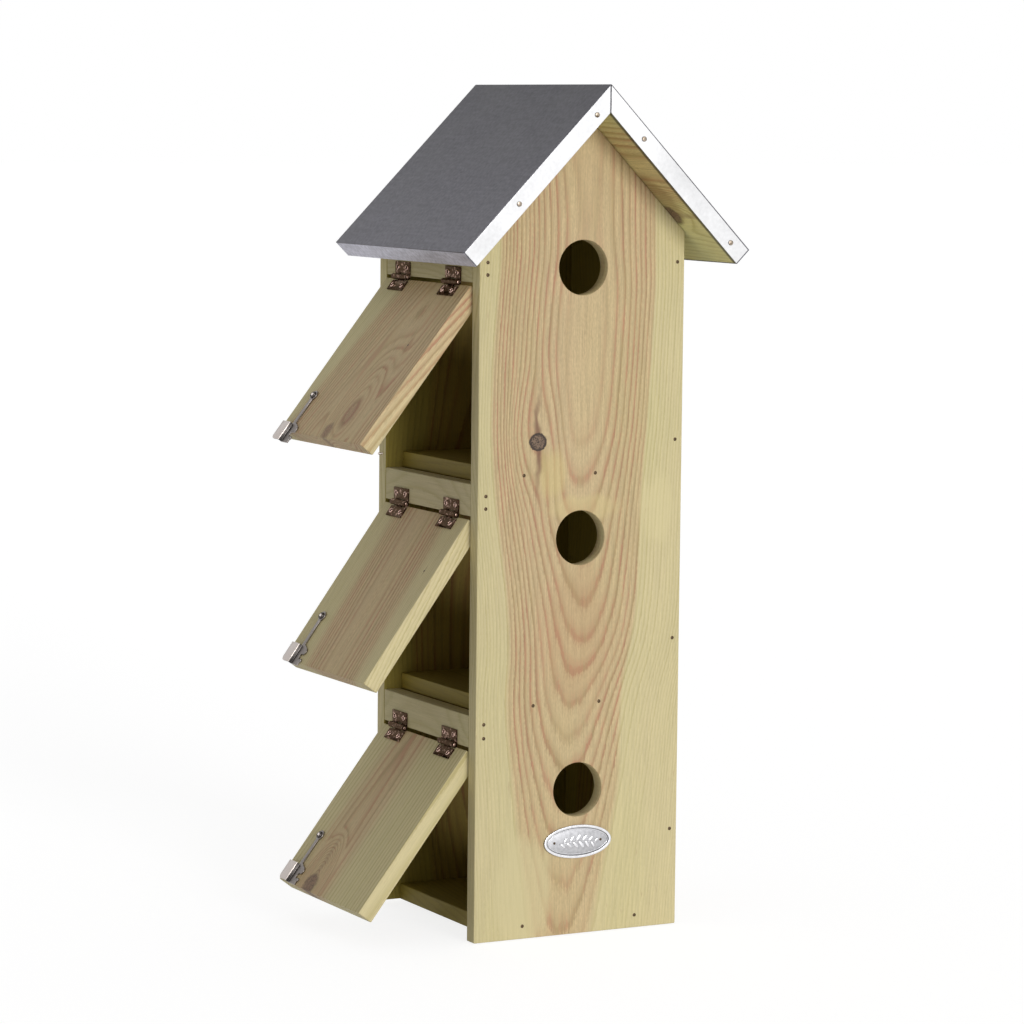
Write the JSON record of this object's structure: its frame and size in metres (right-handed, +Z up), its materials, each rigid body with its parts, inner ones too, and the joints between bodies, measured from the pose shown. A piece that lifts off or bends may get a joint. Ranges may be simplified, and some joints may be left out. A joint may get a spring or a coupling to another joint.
{
  "type": "sparrow nest box",
  "caption": "Tall three-storey wooden nest box with a zinc gable roof, round entrance holes at the front and top-hung clean-out doors on one side.",
  "frame": {"origin": "centre of the hanging hole at the rear face of the back panel", "axes": "+Z up, +Y towards the wall, +X to the right seen from the front; the doors are on the -X side"},
  "size_m": [0.2542, 0.1804, 0.5292],
  "materials": {
    "pine": "planed, pressure-treated pine with a faint green tint",
    "zinc": "folded sheet zinc, dull grey",
    "bronzed_steel": "dark bronzed steel",
    "nickel_steel": "bright nickel-plated steel",
    "nail_steel": "bright wire nail",
    "silver_plate": "satin silver, bare"
  },
  "bodies": {
    "box": {"front_panel": "pine", "back_panel": "pine", "right_side_panel": "pine", "top_rail": "pine", "middle_rail": "pine", "lower_rail": "pine", "upper_floor": "pine", "middle_floor": "pine", "bottom_floor": "pine", "left_roof_board": "pine", "right_roof_board": "pine", "zinc_roof_sheet": "zinc", "front_panel_nails": "nail_steel", "back_panel_nails": "nail_steel", "roof_board_nails": "nail_steel", "roof_sheet_nails": "nail_steel", "oval_plate": "silver_plate", "plate_pins": "nail_steel", "keeper_pins": "nickel_steel", "top_rail_leaves": "bronzed_steel", "middle_rail_leaves": "bronzed_steel", "lower_rail_leaves": "bronzed_steel", "top_hinge_pins": "bronzed_steel", "middle_hinge_pins": "bronzed_steel", "bottom_hinge_pins": "bronzed_steel", "top_rail_screws": "bronzed_steel", "middle_rail_screws": "bronzed_steel", "lower_rail_screws": "bronzed_steel"},
    "bottom_door": {"bottom_door_board": "pine", "bottom_door_leaves": "bronzed_steel", "bottom_door_screws": "bronzed_steel", "bottom_hook_screw": "nickel_steel"},
    "bottom_latch": {"bottom_hook": "nickel_steel"},
    "middle_door": {"middle_door_board": "pine", "middle_door_leaves": "bronzed_steel", "middle_door_screws": "bronzed_steel", "middle_hook_screw": "nickel_steel"},
    "middle_latch": {"middle_hook": "nickel_steel"},
    "top_door": {"top_door_board": "pine", "top_door_leaves": "bronzed_steel", "top_door_screws": "bronzed_steel", "top_hook_screw": "nickel_steel"},
    "top_latch": {"top_hook": "nickel_steel"}
  },
  "joints": [
    {"name": "bottom_door_swing", "type": "hinge", "parent": "box", "child": "bottom_door", "pos_m": [-0.0737, -0.0108, -0.34971], "axis": [0, 1, 0], "range_deg": [-37.5, 50]},
    {"name": "bottom_hook_swing", "type": "hinge", "parent": "bottom_door", "child": "bottom_latch", "pos_m": [-0.12378, -0.0268, -0.41818], "axis": [0.7934, 0, -0.6088], "range_deg": [-25, 65]},
    {"name": "middle_door_swing", "type": "hinge", "parent": "box", "child": "middle_door", "pos_m": [-0.0737, -0.0108, -0.20631], "axis": [0, 1, 0], "range_deg": [-36, 50]},
    {"name": "middle_hook_swing", "type": "hinge", "parent": "middle_door", "child": "middle_latch", "pos_m": [-0.12314, -0.0268, -0.27768], "axis": [0.809, 0, -0.5878], "range_deg": [-25, 65]},
    {"name": "top_door_swing", "type": "hinge", "parent": "box", "child": "top_door", "pos_m": [-0.0737, -0.0108, -0.06291], "axis": [0, 1, 0], "range_deg": [-38, 50]},
    {"name": "top_hook_swing", "type": "hinge", "parent": "top_door", "child": "top_latch", "pos_m": [-0.1296, -0.0268, -0.13764], "axis": [0.788, 0, -0.6157], "range_deg": [-25, 65]}
  ]
}
